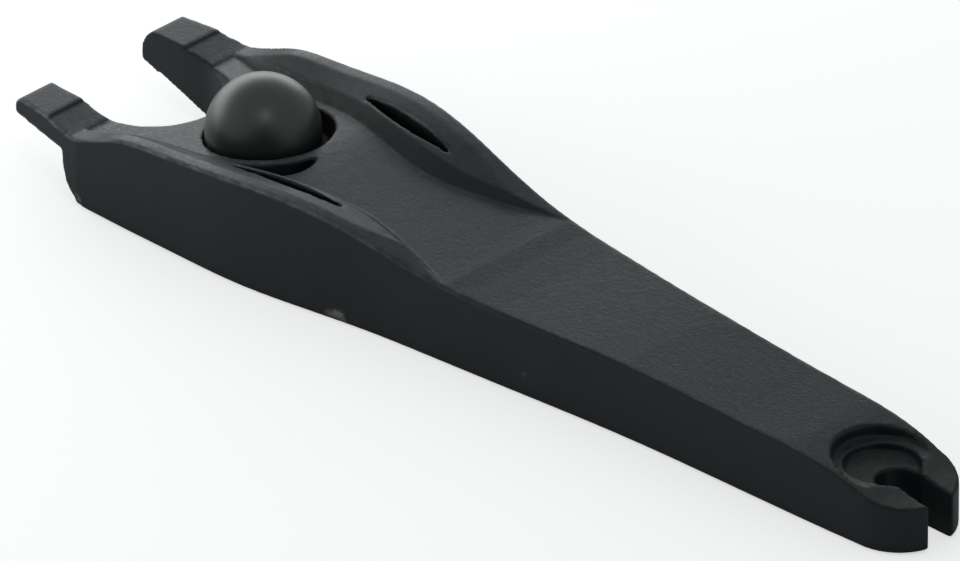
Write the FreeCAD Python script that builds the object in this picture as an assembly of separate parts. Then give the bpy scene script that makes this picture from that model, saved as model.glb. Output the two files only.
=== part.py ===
"""Clutch release fork: one casting with a pressed-in pivot cup.

Frame: X runs along the fork from the prongs (-X) to the cable end (+X), Y across it, Z up.
The origin is the centre of the pivot ball, where the fork rocks on its stud.
The model is drawn with Z measured up from the flat underside, then lowered to the pivot ball.
Every length is in millimetres.
"""
import FreeCAD, Part
import math
import os
from FreeCAD import Vector

# ---- pivot -------------------------------------------------------------------------------------
ball_height = 18.85           # centre of the pivot ball above the underside
ball_radius = 8.0             # pivot ball of the stud that the cup rides on
ball_clearance = 0.2          # between that ball and the cup
cup_radius = 12.2             # dome and skirt of the cup
cup_shank_radius = 10.6       # pressed part of the cup
cup_entry = 0.6               # chamfer round the cup's mouth
grease_radius = 5.6           # the cavity ends in a flat grease pocket this wide
seat_floor = 13.6             # shoulder in the casting that the skirt stands on
press_gap = 0.01              # drawn between the cup and the casting
recess_gap = 1.45             # mean gap between the dome and the wall of its recess
recess_x = 1.0                # centre of the recess, a little off the pivot
recess_y = 0.7
relief_radius = 14.5          # mouth of the relief under the pivot, where the stud swings
relief_height = 8.5           # height of that relief

# ---- fork end ----------------------------------------------------------------------------------
tip_x = -48.6                 # ends of the pads
tip_bulge = 1.3               # how far the rounded ends stand out beyond the pads
pad_top = 17.3                # contact pads that push the bearing
pad_length = 10.6
pad_step = 0.45               # bevel at the back of each pad
tip_edge = 1.5                # length over which the tips are rounded at the top
tip_half_width = 23.8         # outer faces of the prongs at their tips
throat_radius = 14.8
throat_centre_x = -32.4
throat_tip_half_gap = 14.3    # half the gap between the prongs at their tips
throat_lip_height = 13.4      # the upper edge of the throat is opened out above this
throat_lip_flare = 0.75       # opening out for each millimetre of height
throat_lip_shift = 1.5        # the opening out is cut this far towards the pivot
shoulder_x = -33.0            # end wall of the full-depth body
shoulder_round = 10.0         # lower edge of the end wall
shoulder_corner = 1.5         # upright corners of the end wall
prong_inner_tip = 9.6         # underside of a prong above the base: inner edge at the tip
prong_inner_root = 3.6        # inner edge at the end wall
prong_outer_tip = 13.6        # outer edge at the tip
prong_outer_root = 10.4       # outer edge at the end wall

# ---- plan outline ------------------------------------------------------------------------------
barrel_half_width = 26.6
barrel_start_x = -28.0
barrel_end_x = 12.0
end_x = 192.8
end_radius = 12.1
# half widths of the taper at stations along X
taper = [(30.0, 24.6), (48.0, 21.5), (67.0, 19.4), (84.0, 17.8), (101.0, 16.1), (118.0, 14.7),
         (140.0, 13.7), (162.0, 13.0)]

# ---- side outline: heights of the top at stations along X --------------------------------------
saddle_x = -30.0              # lowest line, between the pads and the rims
saddle_top = 15.9
rims = [(-22.5, 18.4), (-16.0, 21.0), (-4.0, 22.6), (12.0, 24.3), (28.0, 24.9), (39.0, 23.9),
        (50.0, 21.8), (67.0, 18.7), (84.0, 17.7)]
arm = [(117.0, 17.35), (150.0, 16.2), (166.0, 15.6), (174.0, 14.5), (181.0, 12.6)]
lobe_top = 10.5               # ends of the two lobes

# ---- web between the rims ----------------------------------------------------------------------
web = [(-30.0, 15.5), (-18.0, 16.5), (-5.0, 17.9), (6.0, 19.5), (16.0, 20.4), (30.0, 19.9),
       (50.0, 19.0), (67.0, 18.4), (80.0, 18.4)]
# half widths of the web, where the flanks start
foot = [(-30.0, 22.0), (-16.0, 18.4), (-4.0, 17.0), (8.0, 15.8), (18.0, 13.5), (28.0, 11.3),
        (39.0, 10.2), (50.0, 12.0), (60.0, 15.2), (70.0, 18.4)]
rim_width = 3.1               # flat top of each rim
rim_edge = 0.6                # least width of a flank seen from above
knee_across = 0.27            # the flanks ease off at this share of their width
knee_up = 0.58                # and at this share of their height

# ---- clip slots in the flanks ------------------------------------------------------------------
slot_start_x = 9.2
slot_end_x = 39.8
slot_start_y = 19.7
slot_end_y = 15.4
slot_width = 2.9              # in the middle; the slots run out to points
slot_floor = 13.5             # height of the bottom of the slots

# ---- pocket beside the pivot recess, on the -Y side --------------------------------------------
pocket_x = 10.3
pocket_y = -7.2
pocket_radius = 8.8
pocket_lip = 2.6              # land left between the recess and the pocket
pocket_floor = 15.0

# ---- cable seat --------------------------------------------------------------------------------
seat_x = 176.0
seat_radius = 10.4
seat_ledge = 12.6
inner_seat_radius = 8.0
inner_seat_floor = 10.6
eye_x = 180.4
eye_radius = 4.7
mouth_width = 6.8

# ---- edges -------------------------------------------------------------------------------------
top_bevel = 0.35              # upper outer edges
bottom_bevel = 0.9            # lower outer edges

above = 60.0                  # taller than anything in the part
below = -5.0
end_centre_x = end_x - end_radius
recess_radius = cup_radius + recess_gap
pad_start_x = tip_x + tip_edge


def spline(points):
    curve = Part.BSplineCurve()
    curve.interpolate(points)
    return curve


def side_spline(stations):
    """Curve in the XZ plane through (x, z) stations."""
    return spline([Vector(x, 0, z) for x, z in stations])


def plan_spline(stations):
    """Curve in the XY plane through (x, y) stations."""
    return spline([Vector(x, y, 0) for x, y in stations])


def line(start, end):
    return Part.LineSegment(start, end).toShape()


def arc(start, middle, end):
    return Part.Arc(start, middle, end).toShape()


def value_at_x(curve, x):
    """Point of a curve that runs steadily along X, found by halving its parameter range."""
    low, high = curve.FirstParameter, curve.LastParameter
    for _ in range(50):
        middle = (low + high) / 2
        if curve.value(middle).x < x:
            low = middle
        else:
            high = middle
    return curve.value(low)


def closed_wire(edges):
    return Part.Wire(Part.__sortEdges__(edges))


def prism(wire, vector):
    return Part.Face(wire).extrude(vector)


def cylinder(radius, low, high, x=0.0, y=0.0):
    return Part.makeCylinder(radius, high - low, Vector(x, y, low))


def mirrored(shape):
    return shape.mirror(Vector(0, 0, 0), Vector(0, 1, 0))


def side_curve():
    """Plan outline of the +Y side, from the barrel to the rounded cable end."""
    start = (barrel_end_x, barrel_half_width)
    end = (end_centre_x, end_radius)
    return plan_spline([start] + taper + [end])


def top_curve():
    """Side view of the top, from the saddle over the rims and the arm to the lobes."""
    return side_spline([(saddle_x, saddle_top)] + rims + arm + [(end_x + 1, lobe_top)])


def half_width_at(x):
    if x <= barrel_end_x:
        return barrel_half_width
    return value_at_x(side_curve(), x).y


def plan_outline():
    """Closed outline seen from above, with the throat not yet cut."""
    tip_outer = Vector(tip_x, tip_half_width, 0)
    barrel_start = Vector(barrel_start_x, barrel_half_width, 0)
    barrel_end = Vector(barrel_end_x, barrel_half_width, 0)
    nose_start = Vector(end_centre_x, end_radius, 0)
    half = [
        line(tip_outer, barrel_start),
        line(barrel_start, barrel_end),
        side_curve().toShape(),
    ]
    other = [mirrored(edge) for edge in half]
    nose = arc(nose_start, Vector(end_x, 0, 0), Vector(end_centre_x, -end_radius, 0))
    front_x = tip_x - 2 * tip_bulge
    front = arc(tip_outer, Vector(front_x, 0, 0), Vector(tip_x, -tip_half_width, 0))
    return closed_wire(half + other + [nose, front])


def side_outline():
    """Closed outline seen from the side: flat underside, rounded tips, pads, saddle and top."""
    pad_end_x = tip_x + pad_length
    nose_low = prong_inner_tip - 2
    nose_middle = (pad_top + nose_low) / 2
    right = end_x + 1
    corners = [
        Vector(right, 0, lobe_top),
        Vector(right, 0, 0),
        Vector(tip_x, 0, 0),
        Vector(tip_x, 0, nose_low),
    ]
    pad = [
        Vector(pad_start_x, 0, pad_top),
        Vector(pad_end_x, 0, pad_top),
        Vector(pad_end_x + pad_step, 0, pad_top - pad_step),
        Vector(saddle_x, 0, saddle_top),
    ]
    edges = [line(a, b) for a, b in zip(corners, corners[1:])]
    edges.append(arc(corners[-1], Vector(tip_x - tip_bulge, 0, nose_middle), pad[0]))
    edges += [line(a, b) for a, b in zip(pad, pad[1:])]
    return closed_wire(edges + [top_curve().toShape()])


def block():
    """Plan outline and side outline crossed."""
    plan = prism(plan_outline(), Vector(0, 0, above))
    side = prism(side_outline(), Vector(0, 2 * above, 0))
    side.translate(Vector(0, -above, 0))
    return plan.common(side).Solids[0]


def edge_bevel(height_at, bevel, outward):
    """Material to take off a long edge of the +Y side; outward is 1 for an upper edge, -1 for a lower."""
    start_x, last_x = barrel_start_x, end_centre_x
    steps = 18
    spare = 1.5
    sections = []
    for index in range(steps + 1):
        x = start_x + (last_x - start_x) * index / steps
        side, edge = half_width_at(x), height_at(x)
        corners = [
            Vector(x, side - bevel - spare, edge + outward * spare),
            Vector(x, side + spare, edge - outward * (bevel + spare)),
            Vector(x, side + 2 * spare, edge + 2 * outward * spare),
        ]
        sections.append(Part.makePolygon(corners + corners[:1]))
    return Part.makeLoft(sections, True, False)


def nose_bevel():
    """Material to take off the lower edge round the cable end."""
    reach = 2 * end_radius
    ring = cylinder(reach, below, bottom_bevel, end_centre_x)
    cone = Part.makeCone(end_radius - bottom_bevel + below, end_radius, bottom_bevel - below,
                         Vector(end_centre_x, 0, below))
    ahead = Part.makeBox(reach, 2 * reach, reach, Vector(end_centre_x, -reach, below))
    return ring.cut(cone).common(ahead)


def top_at(x):
    return value_at_x(top_curve(), x).z


def bottom_at(x):
    return 0.0


def throat():
    """U-shaped gap between the prongs, opened out along its upper edge."""
    open_x = tip_x - 10
    spread = (throat_radius - throat_tip_half_gap) / (throat_centre_x - tip_x)
    open_half = throat_radius - spread * (throat_centre_x - open_x)
    root = Vector(throat_centre_x, throat_radius, 0)
    other_root = Vector(throat_centre_x, -throat_radius, 0)
    mouth = Vector(open_x, open_half, 0)
    other_mouth = Vector(open_x, -open_half, 0)
    deepest = Vector(throat_centre_x + throat_radius, 0, 0)
    wire = Part.Wire([
        line(mouth, root),
        arc(root, deepest, other_root),
        line(other_root, other_mouth),
        line(other_mouth, mouth),
    ])
    cutter = prism(wire, Vector(0, 0, above))
    cutter.translate(Vector(0, 0, below))
    flare_height = pad_top + 1 - throat_lip_height
    lip_radius = throat_radius - throat_lip_shift
    flare_radius = lip_radius + throat_lip_flare * flare_height
    flare = Part.makeCone(lip_radius, flare_radius, flare_height,
                          Vector(throat_centre_x + throat_lip_shift, 0, throat_lip_height))
    return cutter.fuse(flare)


def ahead_of_end_wall():
    """Everything in front of the end wall, which curves back to the underside."""
    back_x = shoulder_x + shoulder_round
    front_x = 2 * tip_x
    reach = shoulder_round * math.sqrt(0.5)
    start = Vector(shoulder_x, 0, shoulder_round)
    middle = Vector(back_x - reach, 0, shoulder_round - reach)
    end = Vector(back_x, 0, 0)
    corners = [
        end,
        Vector(back_x, 0, below),
        Vector(front_x, 0, below),
        Vector(front_x, 0, above),
        Vector(shoulder_x, 0, above),
        start,
    ]
    wall = [line(a, b) for a, b in zip(corners, corners[1:])]
    region = prism(closed_wire(wall + [arc(start, middle, end)]), Vector(0, 2 * above, 0))
    region.translate(Vector(0, -above, 0))
    return region


def prong_underside():
    """Space under the +Y prong: its underside rises outwards and towards the tip."""
    inner_y = 0.0
    outer_y = barrel_half_width + 3
    sections = []
    for x in (tip_x - 4, shoulder_x + shoulder_round + 1):
        share = (x - shoulder_x) / (tip_x - shoulder_x)
        inner = prong_inner_root + share * (prong_inner_tip - prong_inner_root)
        outer = prong_outer_root + share * (prong_outer_tip - prong_outer_root)
        slope = (outer - inner) / (tip_half_width - throat_tip_half_gap)
        low = inner + slope * (inner_y - throat_tip_half_gap)
        high = outer + slope * (outer_y - tip_half_width)
        corners = [
            Vector(x, inner_y, 2 * below),
            Vector(x, outer_y, 2 * below),
            Vector(x, outer_y, high),
            Vector(x, inner_y, low),
        ]
        sections.append(Part.makePolygon(corners + corners[:1]))
    return Part.makeLoft(sections, True, True).common(ahead_of_end_wall())


def shoulder_edge():
    """Material to take off the upright corner of the end wall on the +Y side, under the prong."""
    side = barrel_half_width
    back_x = shoulder_x + shoulder_corner
    reach = shoulder_corner * math.sqrt(0.5)
    start = Vector(shoulder_x, side - shoulder_corner, 0)
    middle = Vector(back_x - reach, side - shoulder_corner + reach, 0)
    end = Vector(back_x, side, 0)
    outside = Vector(back_x, side + 1, 0)
    corner = Vector(shoulder_x, side + 1, 0)
    wire = Part.Wire([arc(start, middle, end), line(end, outside), line(outside, corner), line(corner, start)])
    cutter = prism(wire, Vector(0, 0, prong_outer_root - below))
    cutter.translate(Vector(0, 0, below))
    return cutter


def hollow():
    """Space between the rims: above the web, between flanks that lean outwards."""
    web_line, top_line, foot_line = side_spline(web), top_curve(), plan_spline(foot)
    start_x, last_x = foot[0][0], foot[-1][0]
    steps = 12
    spare = 3.0
    sections = []
    for index in range(steps + 1):
        x = start_x + (last_x - start_x) * index / steps
        floor = value_at_x(web_line, x).z
        top = max(value_at_x(top_line, x).z, floor + spare)
        foot_y = value_at_x(foot_line, x).y
        edge_y = max(half_width_at(x) - rim_width, foot_y + rim_edge)
        width, rise = edge_y - foot_y, top - floor
        steep = knee_across * width / (knee_up * rise)
        gentle = (1 - knee_across) * width / ((1 - knee_up) * rise)
        low_y = foot_y - steep * spare
        high_y = edge_y + gentle * spare
        knee_y = foot_y + knee_across * width
        knee_z = floor + knee_up * rise
        corners = [
            Vector(x, -low_y, floor - spare),
            Vector(x, low_y, floor - spare),
            Vector(x, knee_y, knee_z),
            Vector(x, high_y, top + spare),
            Vector(x, -high_y, top + spare),
            Vector(x, -knee_y, knee_z),
        ]
        sections.append(Part.makePolygon(corners + corners[:1]))
    flanks = Part.makeLoft(sections, True, False)
    web_edge = web_line.toShape()
    web_start = Vector(web[0][0], 0, web[0][1])
    web_end = Vector(web[-1][0], 0, web[-1][1])
    top_end = Vector(web_end.x, 0, above)
    top_start = Vector(web_start.x, 0, above)
    wire = closed_wire([
        web_edge,
        line(web_end, top_end),
        line(top_end, top_start),
        line(top_start, web_start),
    ])
    over_web = prism(wire, Vector(0, 2 * above, 0))
    over_web.translate(Vector(0, -above, 0))
    return flanks.common(over_web)


def pivot_opening():
    """Recess round the dome, bore for the pressed cup, and relief for the stud."""
    recess = cylinder(recess_radius, seat_floor, above, recess_x, recess_y)
    bore = cylinder(cup_shank_radius + press_gap, below, above)
    relief = Part.makeCone(relief_radius, cup_shank_radius, relief_height)
    return recess.fuse([bore, relief])


def clip_slot():
    """Blind slot, pointed at both ends, sunk into the +Y flank."""
    start = Vector(slot_start_x, slot_start_y, 0)
    end = Vector(slot_end_x, slot_end_y, 0)
    along = (end - start).normalize()
    across = Vector(-along.y, along.x, 0) * (slot_width / 2)
    centre = (start + end) / 2
    wire = Part.Wire([
        arc(start, centre + across, end),
        arc(end, centre - across, start),
    ])
    cutter = prism(wire, Vector(0, 0, above))
    cutter.translate(Vector(0, 0, slot_floor))
    return cutter


def pocket():
    """Crescent-shaped relief that a round cut leaves outside the lip of the recess."""
    lip_radius = recess_radius + pocket_lip
    round_cut = cylinder(pocket_radius, pocket_floor, above, pocket_x, pocket_y)
    return round_cut.cut(cylinder(lip_radius, below, above + above, recess_x, recess_y))


def cable_seat():
    """Two round steps, the eye, and the mouth that opens through the end."""
    outer = cylinder(seat_radius, seat_ledge, above, seat_x)
    inner = cylinder(inner_seat_radius, inner_seat_floor, above, seat_x)
    eye = cylinder(eye_radius, below, above, eye_x)
    mouth = Part.makeBox(end_x, mouth_width, above, Vector(eye_x, -mouth_width / 2, below))
    return outer.fuse([inner, eye, mouth])


def fork():
    underside = prong_underside()
    slot = clip_slot()
    corner = shoulder_edge()
    upper = edge_bevel(top_at, top_bevel, 1)
    lower = edge_bevel(bottom_at, bottom_bevel, -1)
    shape = block()
    cutters = [
        throat(),
        underside,
        mirrored(underside),
        corner,
        mirrored(corner),
        upper,
        mirrored(upper),
        lower,
        mirrored(lower),
        nose_bevel(),
        hollow(),
        slot,
        mirrored(slot),
        pocket(),
        pivot_opening(),
        cable_seat(),
    ]
    for cutter in cutters:
        shape = shape.cut(cutter)
    return shape.Solids[0]


def cup():
    """Domed cup, open at the bottom for the ball of the stud."""
    cavity = ball_radius + ball_clearance
    shoulder = seat_floor + press_gap
    foot_z = relief_height
    spread = math.asin(grease_radius / cavity)
    pocket_z = ball_height + cavity * math.cos(spread)
    half_angle = (math.pi / 2 + spread) / 2
    diagonal = math.sqrt(0.5)
    top = Vector(0, 0, ball_height + cup_radius)
    equator = Vector(cup_radius, 0, ball_height)
    outer_middle = Vector(cup_radius * diagonal, 0, ball_height + cup_radius * diagonal)
    inner_start = Vector(cavity, 0, ball_height)
    inner_end = Vector(grease_radius, 0, pocket_z)
    inner_middle = Vector(cavity * math.sin(half_angle), 0, ball_height + cavity * math.cos(half_angle))
    below_equator = [
        equator,
        Vector(cup_radius, 0, shoulder),
        Vector(cup_shank_radius, 0, shoulder),
        Vector(cup_shank_radius, 0, foot_z),
        Vector(cavity + cup_entry, 0, foot_z),
        Vector(cavity, 0, foot_z + cup_entry),
        inner_start,
    ]
    crest = Vector(0, 0, pocket_z)
    edges = [line(crest, top), arc(top, outer_middle, equator)]
    edges += [line(a, b) for a, b in zip(below_equator, below_equator[1:])]
    edges += [arc(inner_start, inner_middle, inner_end), line(inner_end, crest)]
    return Part.Face(Part.Wire(edges)).revolve(Vector(0, 0, 0), Vector(0, 0, 1), 360)


def save(shape, name):
    placed = shape.copy()
    placed.translate(Vector(0, 0, -ball_height))
    placed.exportStep("parts/" + name + ".step")


os.makedirs("parts", exist_ok=True)
save(fork(), "fork")
save(cup(), "pivot_cup")
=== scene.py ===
"""Looks for the clutch release fork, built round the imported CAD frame.

Lengths are in millimetres, unless a comment says that they are in metres.
"""
import math

import bmesh
import bpy
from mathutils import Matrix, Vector


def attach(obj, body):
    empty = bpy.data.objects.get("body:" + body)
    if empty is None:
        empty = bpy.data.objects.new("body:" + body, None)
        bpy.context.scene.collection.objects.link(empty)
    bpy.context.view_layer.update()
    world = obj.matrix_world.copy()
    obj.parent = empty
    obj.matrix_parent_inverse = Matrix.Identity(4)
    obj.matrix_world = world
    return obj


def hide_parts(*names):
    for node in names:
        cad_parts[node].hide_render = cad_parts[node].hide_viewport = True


MM = 0.001
UNDERSIDE = -18.85            # height of the fork's flat underside

# ---- view --------------------------------------------------------------------------------------
AZIMUTH = 44.36
ELEVATION = 30.46
VIEW_WIDTH = 197.6            # width of the view at the aim
VIEW_DISTANCE = 5300.0
AIM_RIGHT = 44.60             # the camera's aim, from the pivot towards the right of the view
AIM_DOWN = 30.93              # and towards its foot
SENSOR = 36.0
CLIP_START = 0.05             # metres
CLIP_END = 50                 # metres

# ---- skin of the casting -----------------------------------------------------------------------
WELD_DISTANCE = 0.001
SKIN_VOXEL = 0.45
SKIN_SMOOTHING = 2            # passes
SKIN_SMOOTHING_FACTOR = 0.5
SKIN_KEPT = 0.57              # share of the facets that is kept, to stay under 200,000

# ---- pivot cup, with heights above the underside, as in the CAD --------------------------------
CUP_RADIUS = 12.2
CUP_SHANK = 10.6
CUP_CAVITY = 8.2
CUP_ENTRY = 0.6
CUP_SHOULDER = 13.61
CUP_FOOT = 8.5
CUP_EDGE = 0.3                # bevel at the foot of the dome
CUP_ARC_STEPS = 40
CUP_STEPS = 128
CUP_SHARP = 40                # degrees between faces that are shaded as an edge

# ---- paint -------------------------------------------------------------------------------------
WALL_COLOURS = ((0.015, 0.019, 0.021, 1), (0.023, 0.027, 0.030, 1))
# painted sheen: faces that look up get these lighter colours instead of the wall colours
TOP_SHEEN_COLOURS = ((0.034, 0.043, 0.050, 1), (0.058, 0.070, 0.079, 1))
# painted shade that darkens the tops down the arm
ARM_SHADE_COLOUR = (0.013, 0.017, 0.020, 1)
DUST_COLOUR = (0.062, 0.064, 0.061, 1)
# painted shade on faces that slope part way up
SLOPE_SHADE_COLOUR = (0.007, 0.009, 0.010, 1)
# painted sheen on the level top between the prongs and the dome
SADDLE_SHEEN_COLOUR = (0.105, 0.120, 0.122, 1)
# painted glints: bright specks where the grain catches the light
GLINT_COLOUR = (0.20, 0.225, 0.225, 1)
# painted highlight on the outer crests
CREST_HIGHLIGHT_COLOUR = (0.24, 0.265, 0.265, 1)
# painted shade for corners, creases and slots
CREASE_SHADE_COLOUR = (0.003, 0.004, 0.004, 1)
CUP_COLOURS = ((0.010, 0.012, 0.012, 1), (0.020, 0.022, 0.022, 1))
CARD_COLOUR = (0.01, 0.01, 0.01, 1)

# stretches along X over which each tone comes in: painted sheen between the prongs and the dome, painted
# shade down the arm, dust round the cable seat and painted crest highlights
SADDLE_SHEEN_START = (-33.0, -27.0)
SADDLE_SHEEN_END = (20.0, -15.0)
ARM_SHADE_START = (20.0, 90.0)
DUST_START = (166.0, 172.0)
CREST_HIGHLIGHT_END = (70.0, 30.0)
CREST_HIGHLIGHT_RISE = (-9.0, -4.0)      # heights between which the painted highlight comes in
# squared distances from the middle line, in square metres, of about 17 and 19 mm
CREST_HIGHLIGHT_OUTWARD = (0.00029, 0.00036)

GRAIN_SCALE = 1100.0
COARSE_SCALE = 330.0
PATCH_SCALE = 70.0
GRAIN_HEIGHT = 0.13           # of the casting's surface
COARSE_HEIGHT = 0.35          # share of the grain's height
CREASE_SHADE_REACH = 4.0
CREASE_SHADE_SAMPLES = 8
CUP_CLOUD_SCALE = 120.0
CUP_GRAIN_SCALE = 500.0
CUP_GRAIN_HEIGHT = 0.1
CUP_GRAIN_STRENGTH = 0.15

# chips and scuffs in the paint: centre, half size, tone
MARKS = (
    ((-28.0, -25.8, -16.8), (1.6, 2.0, 1.6), 0.26),
    ((43.5, -21.8, -17.2), (4.6, 1.5, 1.9), 0.22),
    ((91.4, -17.2, -12.9), (0.8, 1.0, 1.6), 0.12),
)
MARK_EDGE = (1.1, 0.5)        # distances from the centre, in half sizes, over which a mark comes in

# ---- stage -------------------------------------------------------------------------------------
ROOM = 0.30                   # strength of the soft light from all round
ROOM_COLOUR = (0.93, 0.98, 1, 1)
FLOOR_REACH = 6.0             # metres from the middle to each edge
FLOOR_GAP = 0.02              # below the underside
FLOOR_BOUNCE = 0.68           # how pale the floor is to everything but the camera
FLOOR_SEEN = 0.9              # and to the camera
FLOOR_GLOW = 0.6              # light that the floor adds towards the camera alone
CARD_DISTANCE = 620.0
CARD_WIDTH = 1100.0
CARD_TOP_WIDTH = 180.0
CARD_HEIGHT = 500.0

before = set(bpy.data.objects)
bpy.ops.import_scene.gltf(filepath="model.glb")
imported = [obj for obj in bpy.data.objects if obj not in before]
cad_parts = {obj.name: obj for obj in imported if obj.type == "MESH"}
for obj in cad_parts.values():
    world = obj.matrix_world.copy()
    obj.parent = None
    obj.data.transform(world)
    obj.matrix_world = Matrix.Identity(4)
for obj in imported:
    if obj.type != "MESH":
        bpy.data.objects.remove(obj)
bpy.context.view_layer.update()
scene = bpy.context.scene


# ---- geometry ----------------------------------------------------------------------------------
def link(name, data):
    made = bpy.data.objects.new(name, data)
    scene.collection.objects.link(made)
    return made


def welded_copy(source, name):
    mesh = source.data.copy()
    mesh.name = name
    work = bmesh.new()
    work.from_mesh(mesh)
    bmesh.ops.remove_doubles(work, verts=work.verts, dist=WELD_DISTANCE * MM)
    work.to_mesh(mesh)
    work.free()
    mesh.materials.clear()
    return link(name, mesh)


def bake(source):
    """Replaces an object's mesh by what its modifiers make of it."""
    graph = bpy.context.evaluated_depsgraph_get()
    mesh = bpy.data.meshes.new_from_object(source.evaluated_get(graph))
    source.modifiers.clear()
    source.data = mesh


def hold_within(mesh, solid):
    """Moves what rounding has left a hair outside the solid's box back onto it."""
    for axis in range(3):
        low = min(vertex.co[axis] for vertex in solid.vertices)
        high = max(vertex.co[axis] for vertex in solid.vertices)
        for vertex in mesh.vertices:
            vertex.co[axis] = min(max(vertex.co[axis], low), high)


def cast_skin():
    """The fork's surface as cast: even small facets and softened edges."""
    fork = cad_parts["fork"]
    skin = welded_copy(fork, "cast_fork")
    remesh = skin.modifiers.new("remesh", "REMESH")
    remesh.mode = "VOXEL"
    remesh.voxel_size = SKIN_VOXEL * MM
    soften = skin.modifiers.new("soften", "SMOOTH")
    soften.factor = SKIN_SMOOTHING_FACTOR
    soften.iterations = SKIN_SMOOTHING
    thin = skin.modifiers.new("thin", "DECIMATE")
    thin.ratio = SKIN_KEPT
    bake(skin)
    hold_within(skin.data, fork.data)
    skin.data.shade_smooth()
    return skin


def lathe(name, profile, steps):
    """Solid of revolution about Z from (radius, height) points in millimetres."""
    mesh = bpy.data.meshes.new(name)
    work = bmesh.new()
    rings = []
    for radius, height in profile:
        if radius < WELD_DISTANCE * MM:
            rings.append([work.verts.new((0, 0, height * MM))])
            continue
        ring = []
        for step in range(steps):
            angle = 2 * math.pi * step / steps
            ring.append(work.verts.new((radius * MM * math.cos(angle), radius * MM * math.sin(angle),
                                        height * MM)))
        rings.append(ring)
    for low, high in zip(rings, rings[1:]):
        for step in range(steps):
            ahead = (step + 1) % steps
            if len(low) == 1:
                work.faces.new((low[0], high[step], high[ahead]))
            elif len(high) == 1:
                work.faces.new((low[step], high[0], low[ahead]))
            else:
                work.faces.new((low[step], high[step], high[ahead], low[ahead]))
    bmesh.ops.recalc_face_normals(work, faces=work.faces)
    work.to_mesh(mesh)
    work.free()
    return link(name, mesh)


def cup_skin():
    """The domed cup, smooth all round."""
    shoulder = CUP_SHOULDER + UNDERSIDE
    foot = CUP_FOOT + UNDERSIDE
    quarter = [math.pi / 2 * step / CUP_ARC_STEPS for step in range(CUP_ARC_STEPS + 1)]
    outside = [(CUP_RADIUS * math.sin(angle), CUP_RADIUS * math.cos(angle)) for angle in quarter]
    below = [
        (CUP_RADIUS, shoulder + CUP_EDGE),
        (CUP_RADIUS - CUP_EDGE, shoulder),
        (CUP_SHANK, shoulder),
        (CUP_SHANK, foot),
        (CUP_CAVITY + CUP_ENTRY, foot),
        (CUP_CAVITY, foot + CUP_ENTRY),
    ]
    inside = [(CUP_CAVITY * math.sin(angle), CUP_CAVITY * math.cos(angle)) for angle in reversed(quarter)]
    made = lathe("cup_skin", outside + below + inside, CUP_STEPS)
    made.data.shade_smooth()
    made.data.set_sharp_from_angle(angle=math.radians(CUP_SHARP))
    return made


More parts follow.
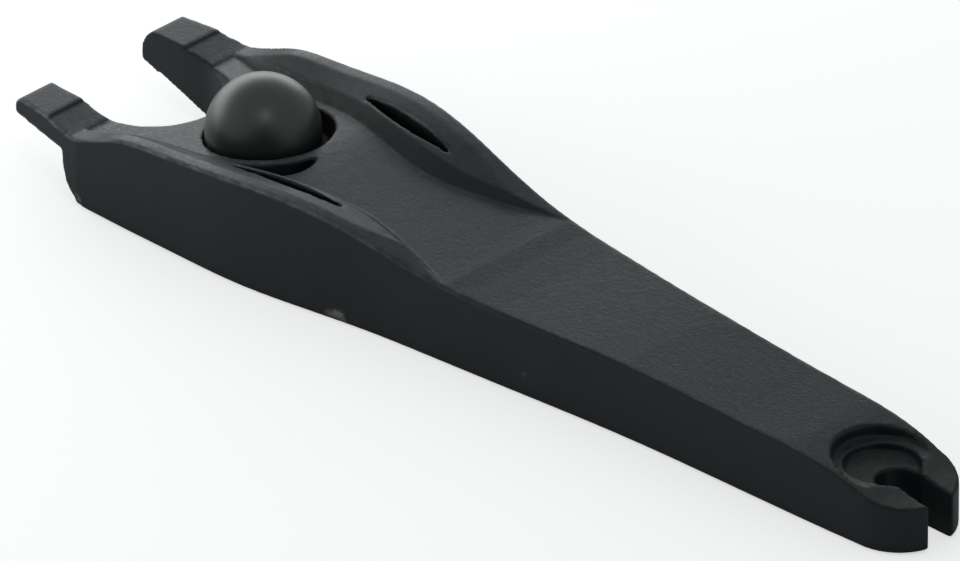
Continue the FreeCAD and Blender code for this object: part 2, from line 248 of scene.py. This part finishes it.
# ---- materials ---------------------------------------------------------------------------------
class Paint:
    """A Principled material, with a short call for each kind of node that feeds it."""

    def __init__(self, name):
        self.material = bpy.data.materials.new(name)
        self.material.use_nodes = True
        self.nodes = self.material.node_tree.nodes
        self.links = self.material.node_tree.links
        self.nodes.clear()
        output = self.nodes.new("ShaderNodeOutputMaterial")
        self.shader = self.nodes.new("ShaderNodeBsdfPrincipled")
        self.links.new(self.shader.outputs[0], output.inputs[0])

    def place(self):
        return self.nodes.new("ShaderNodeTexCoord").outputs["Object"]

    def parts(self, vector):
        """X, Y and Z of a vector."""
        node = self.nodes.new("ShaderNodeSeparateXYZ")
        self.links.new(vector, node.inputs[0])
        return node.outputs

    def noise(self, place, scale, detail):
        node = self.nodes.new("ShaderNodeTexNoise")
        node.inputs["Scale"].default_value = scale
        node.inputs["Detail"].default_value = detail
        node.inputs["Roughness"].default_value = 0.6
        self.links.new(place, node.inputs["Vector"])
        return node.outputs[0]

    def ramp(self, value, low, high, low_out=0.0, high_out=1.0):
        """Runs from low_out to high_out while the value runs from low to high, and stops there."""
        node = self.nodes.new("ShaderNodeMapRange")
        node.inputs["From Min"].default_value = low
        node.inputs["From Max"].default_value = high
        node.inputs["To Min"].default_value = low_out
        node.inputs["To Max"].default_value = high_out
        self.links.new(value, node.inputs["Value"])
        return node.outputs[0]

    def stretch(self, value, ends, low_out=0.0, high_out=1.0):
        """The same between two places in millimetres."""
        return self.ramp(value, ends[0] * MM, ends[1] * MM, low_out, high_out)

    def spread(self, share, low_out, high_out):
        return self.ramp(share, 0.0, 1.0, low_out, high_out)

    def combine(self, operation, first, second):
        node = self.nodes.new("ShaderNodeMath")
        node.operation = operation
        for socket, value in zip(node.inputs, (first, second)):
            if isinstance(value, float):
                socket.default_value = value
            else:
                self.links.new(value, socket)
        return node.outputs[0]

    def product(self, first, *others):
        for other in others:
            first = self.combine("MULTIPLY", first, other)
        return first

    def mix(self, share, first, second):
        node = self.nodes.new("ShaderNodeMix")
        node.data_type = "RGBA"
        self.links.new(share, node.inputs["Factor"])
        for socket, value in ((node.inputs[6], first), (node.inputs[7], second)):
            if isinstance(value, tuple):
                socket.default_value = value
            else:
                self.links.new(value, socket)
        return node.outputs[2]

    def crease_shade(self):
        """0 in corners and slots, 1 on open faces; it drives the painted shade there."""
        node = self.nodes.new("ShaderNodeAmbientOcclusion")
        node.inputs["Distance"].default_value = CREASE_SHADE_REACH * MM
        node.samples = CREASE_SHADE_SAMPLES
        return node.outputs["AO"]

    def mark(self, place, centre, size):
        """1 inside an ellipsoid with a soft edge, 0 outside it."""
        shift = self.nodes.new("ShaderNodeMapping")
        shift.vector_type = "TEXTURE"
        shift.inputs["Location"].default_value = Vector(centre) * MM
        shift.inputs["Scale"].default_value = Vector(size) * MM
        self.links.new(place, shift.inputs["Vector"])
        length = self.nodes.new("ShaderNodeVectorMath")
        length.operation = "LENGTH"
        self.links.new(shift.outputs[0], length.inputs[0])
        return self.ramp(length.outputs["Value"], *MARK_EDGE)

    def feed(self, value, name):
        self.links.new(value, self.shader.inputs[name])

    def bump(self, height, distance):
        """Feeds the shader's normal, and returns the node so that its strength can be set."""
        node = self.nodes.new("ShaderNodeBump")
        node.inputs["Distance"].default_value = distance * MM
        self.links.new(height, node.inputs["Height"])
        self.feed(node.outputs[0], "Normal")
        return node


def top_colour(paint, along, coarse):
    """Lighter as painted sheen and mottled on the web, with painted shade darker down the arm, and dusty
    round the cable seat.
    """
    colour = paint.mix(paint.ramp(coarse, 0.35, 0.65), *TOP_SHEEN_COLOURS)
    # painted shade: the tops grow darker down the arm
    colour = paint.mix(paint.stretch(along, ARM_SHADE_START, 0.0, 0.85), colour, ARM_SHADE_COLOUR)
    dust = paint.product(paint.stretch(along, DUST_START, 0.0, 0.75), paint.ramp(coarse, 0.35, 0.6, 0.4, 1.0))
    return paint.mix(dust, colour, DUST_COLOUR)


def saddle_sheen(paint, along, facing):
    """1 on the level top between the prongs and the dome, which is given a painted sheen."""
    ends = paint.product(paint.stretch(along, SADDLE_SHEEN_START), paint.stretch(along, SADDLE_SHEEN_END))
    return paint.product(ends, paint.ramp(facing, 0.86, 0.98))


def crest_highlight(paint, pointiness, spot, coarse):
    """Painted highlight along the outer crests, most of it round the pivot."""
    crest = paint.product(paint.ramp(pointiness, 0.51, 0.56), paint.stretch(spot["Z"], CREST_HIGHLIGHT_RISE))
    outward = paint.product(spot["Y"], spot["Y"])
    crest = paint.product(crest, paint.ramp(outward, *CREST_HIGHLIGHT_OUTWARD))
    return paint.product(crest, paint.ramp(coarse, 0.35, 0.6, 0.35, 1.0),
                         paint.stretch(spot["X"], CREST_HIGHLIGHT_END, 0.3, 1.0))


def cast_paint():
    """Black satin paint over a sand casting: grainy where it faces up, smoother on the walls. Its colour
    holds painted sheen, glints and crest highlights, and painted shade on slopes, down the arm and in
    creases.
    """
    paint = Paint("cast_paint")
    place = paint.place()
    spot = paint.parts(place)
    geometry = paint.nodes.new("ShaderNodeNewGeometry").outputs
    facing = paint.parts(geometry["Normal"])["Z"]
    up = paint.ramp(facing, 0.92, 0.99)
    slope = paint.combine("SUBTRACT", paint.ramp(facing, 0.4, 0.7), up)
    grain = paint.noise(place, GRAIN_SCALE, 3.0)
    coarse = paint.noise(place, COARSE_SCALE, 3.0)
    patch = paint.noise(place, PATCH_SCALE, 4.0)

    colour = paint.mix(patch, *WALL_COLOURS)
    # painted shade: faces that slope part way up are darkened
    colour = paint.mix(paint.spread(slope, 0.0, 0.7), colour, SLOPE_SHADE_COLOUR)
    # painted sheen: faces that look up take the lighter top colour
    colour = paint.mix(up, colour, top_colour(paint, spot["X"], coarse))
    pale = saddle_sheen(paint, spot["X"], facing)
    # painted sheen on the level top between the prongs and the dome
    colour = paint.mix(paint.spread(pale, 0.0, 0.8), colour, SADDLE_SHEEN_COLOUR)
    # painted glints on the grain of faces that look up, most between the prongs and the dome
    glint = paint.product(paint.ramp(grain, 0.5, 0.68), paint.spread(pale, 0.1, 0.9),
                          paint.spread(up, 0.05, 1.0))
    colour = paint.mix(glint, colour, GLINT_COLOUR)
    # painted highlight along the outer crests
    colour = paint.mix(crest_highlight(paint, geometry["Pointiness"], spot, coarse), colour, CREST_HIGHLIGHT_COLOUR)
    ragged = paint.ramp(coarse, 0.42, 0.58)
    for centre, size, tone in MARKS:
        share = paint.product(paint.mark(place, centre, size), ragged)
        colour = paint.mix(share, colour, (tone, tone * 0.97, tone * 0.85, 1))
    # painted shade: corners, creases and slots darkened by occlusion, less on faces that look up
    shade = paint.product(paint.ramp(paint.crease_shade(), 0.85, 0.3), paint.spread(up, 1.0, 0.15))
    paint.feed(paint.mix(shade, colour, CREASE_SHADE_COLOUR), "Base Color")

    rough = paint.combine("ADD", paint.ramp(coarse, 0.3, 0.7, 0.33, 0.45), paint.spread(slope, 0.0, 0.2))
    paint.feed(rough, "Roughness")
    height = paint.combine("ADD", grain, paint.product(coarse, COARSE_HEIGHT))
    bump = paint.bump(height, GRAIN_HEIGHT)
    paint.links.new(paint.spread(up, 0.2, 0.6), bump.inputs["Strength"])
    return paint.material


def cup_paint():
    """Smooth, glossier black paint."""
    paint = Paint("cup_paint")
    place = paint.place()
    cloud = paint.noise(place, CUP_CLOUD_SCALE, 4.0)
    paint.feed(paint.mix(cloud, *CUP_COLOURS), "Base Color")
    paint.feed(paint.ramp(cloud, 0.3, 0.7, 0.36, 0.44), "Roughness")
    paint.shader.inputs["Specular IOR Level"].default_value = 1.0
    paint.shader.inputs["Coat Weight"].default_value = 0.8
    paint.shader.inputs["Coat Roughness"].default_value = 0.38
    bump = paint.bump(paint.noise(place, CUP_GRAIN_SCALE, 2.0), CUP_GRAIN_HEIGHT)
    bump.inputs["Strength"].default_value = CUP_GRAIN_STRENGTH
    return paint.material


def floor_paint():
    """White to the camera; a plain pale floor to the light, which keeps the soft shadow."""
    paint = Paint("floor_paint")
    seen = paint.nodes.new("ShaderNodeLightPath").outputs["Is Camera Ray"]
    paint.feed(paint.spread(seen, FLOOR_BOUNCE, FLOOR_SEEN), "Base Color")
    paint.feed(paint.spread(seen, 0.0, FLOOR_GLOW), "Emission Strength")
    paint.shader.inputs["Emission Color"].default_value = (1, 1, 1, 1)
    paint.shader.inputs["Roughness"].default_value = 0.9
    paint.shader.inputs["Specular IOR Level"].default_value = 0.0
    return paint.material


def card_paint():
    paint = Paint("card_black")
    paint.shader.inputs["Base Color"].default_value = CARD_COLOUR
    paint.shader.inputs["Roughness"].default_value = 1.0
    return paint.material


# ---- stage -------------------------------------------------------------------------------------
def direction(heading, elevation):
    """From the pivot outwards. Heading 0 is -Y, and it turns towards +X."""
    heading, elevation = math.radians(heading), math.radians(elevation)
    return Vector((math.sin(heading) * math.cos(elevation), -math.cos(heading) * math.cos(elevation),
                   math.sin(elevation)))


def view_right():
    azimuth = math.radians(AZIMUTH)
    return Vector((math.cos(azimuth), math.sin(azimuth), 0))


def aim_back(made, back):
    """Turns a camera or a light so that it looks away from a direction."""
    made.rotation_mode = "QUATERNION"
    made.rotation_quaternion = back.to_track_quat("Z", "Y")


def add_camera():
    right, back = view_right(), direction(AZIMUTH, ELEVATION)
    up = back.cross(right)
    data = bpy.data.cameras.new("camera")
    data.sensor_width = SENSOR
    data.lens = SENSOR * VIEW_DISTANCE / VIEW_WIDTH
    data.clip_start = CLIP_START
    data.clip_end = CLIP_END
    camera = link("camera", data)
    camera.location = (right * AIM_RIGHT - up * AIM_DOWN) * MM + back * VIEW_DISTANCE * MM
    aim_back(camera, back)
    scene.camera = camera


def add_sheet(name, corners, material, seen=True):
    """One flat face of the stage, from four corners in metres."""
    mesh = bpy.data.meshes.new(name)
    mesh.from_pydata(corners, [], [(0, 1, 2, 3)])
    mesh.materials.append(material)
    sheet = link(name, mesh)
    sheet.visible_camera = seen


def add_floor():
    height = (UNDERSIDE - FLOOR_GAP) * MM
    turns = ((-1, -1), (1, -1), (1, 1), (-1, 1))
    corners = [(x * FLOOR_REACH, y * FLOOR_REACH, height) for x, y in turns]
    add_sheet("floor", corners, floor_paint())


def add_card():
    """Dark card standing on the camera's side, seen only in reflections."""
    foot = Vector((0, 0, UNDERSIDE)) + direction(AZIMUTH, 0) * CARD_DISTANCE
    top = foot + Vector((0, 0, CARD_HEIGHT))
    side, top_side = view_right() * (CARD_WIDTH / 2), view_right() * (CARD_TOP_WIDTH / 2)
    corners = [foot - side, foot + side, top + top_side, top - top_side]
    add_sheet("card", [corner * MM for corner in corners], card_paint(), seen=False)


def add_light(name, heading, elevation, distance, size, power, glossy=True):
    """Area light aimed at the pivot, in metres. Heading is from the camera's side, to its right."""
    back = direction(AZIMUTH + heading, elevation)
    data = bpy.data.lights.new(name, "AREA")
    data.shape = "RECTANGLE"
    data.size, data.size_y = size
    data.energy = power
    light = link(name, data)
    light.location = back * distance
    aim_back(light, back)
    light.visible_glossy = glossy


def add_world():
    """White to the camera, and soft light from all round to everything else."""
    world = bpy.data.worlds.new("studio")
    scene.world = world
    world.use_nodes = True
    nodes, links = world.node_tree.nodes, world.node_tree.links
    nodes.clear()
    output = nodes.new("ShaderNodeOutputWorld")
    path = nodes.new("ShaderNodeLightPath")
    seen = nodes.new("ShaderNodeBackground")
    seen.inputs["Color"].default_value = (1, 1, 1, 1)
    room = nodes.new("ShaderNodeBackground")
    room.inputs["Color"].default_value = ROOM_COLOUR
    room.inputs["Strength"].default_value = ROOM
    mix = nodes.new("ShaderNodeMixShader")
    links.new(path.outputs["Is Camera Ray"], mix.inputs[0])
    links.new(room.outputs[0], mix.inputs[1])
    links.new(seen.outputs[0], mix.inputs[2])
    links.new(mix.outputs[0], output.inputs[0])


fork_skin = cast_skin()
fork_skin.data.materials.append(cast_paint())
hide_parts("fork")
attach(fork_skin, "root")

dome = cup_skin()
dome.data.materials.append(cup_paint())
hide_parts("pivot_cup")
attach(dome, "root")

add_floor()
add_world()
add_card()
add_light("backdrop", 203, 15, 0.35, (0.9, 0.2), 0.72)
add_light("fill", -75, 15, 0.5, (0.3, 0.3), 0.5, glossy=False)
add_light("lamp", 8, 58, 1.2, (0.1, 0.1), 0.4)
add_camera()
scene.view_settings.view_transform = "Standard"
